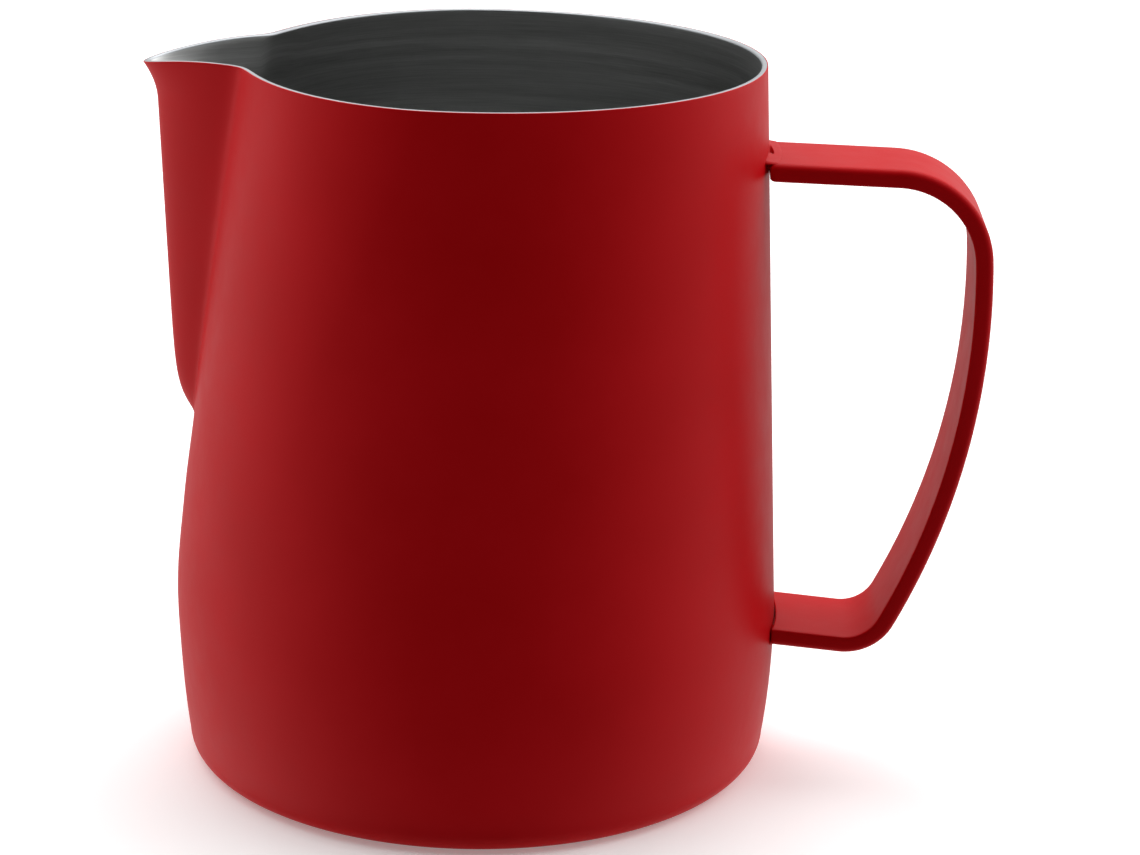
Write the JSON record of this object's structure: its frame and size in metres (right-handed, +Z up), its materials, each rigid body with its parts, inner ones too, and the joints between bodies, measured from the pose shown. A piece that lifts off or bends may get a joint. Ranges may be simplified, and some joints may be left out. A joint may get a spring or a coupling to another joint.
{
  "type": "milk frothing pitcher",
  "caption": "Straight-sided metal milk frothing pitcher with a pressed V spout, red powder-coated outside, bare steel inside and a flat strap handle.",
  "frame": {"origin": "middle of the base, on the cup's axis, in the plane of the standing ring", "axes": "+Z up along the cup's axis; +X towards the handle, so the spout points to -X; Y across"},
  "size_m": [0.1231, 0.0896, 0.1052],
  "materials": {
    "brushed_steel": "fine circumferential brushing",
    "strap_steel": "plain cold rolled, hidden under the coat",
    "red_coat": "satin powder coat"
  },
  "bodies": {
    "root": {"body_shell": "brushed_steel", "body_coating": "red_coat", "handle_strap": "strap_steel", "handle_coating": "red_coat", "upper_weld": "red_coat", "lower_weld": "red_coat"}
  },
  "joints": []
}
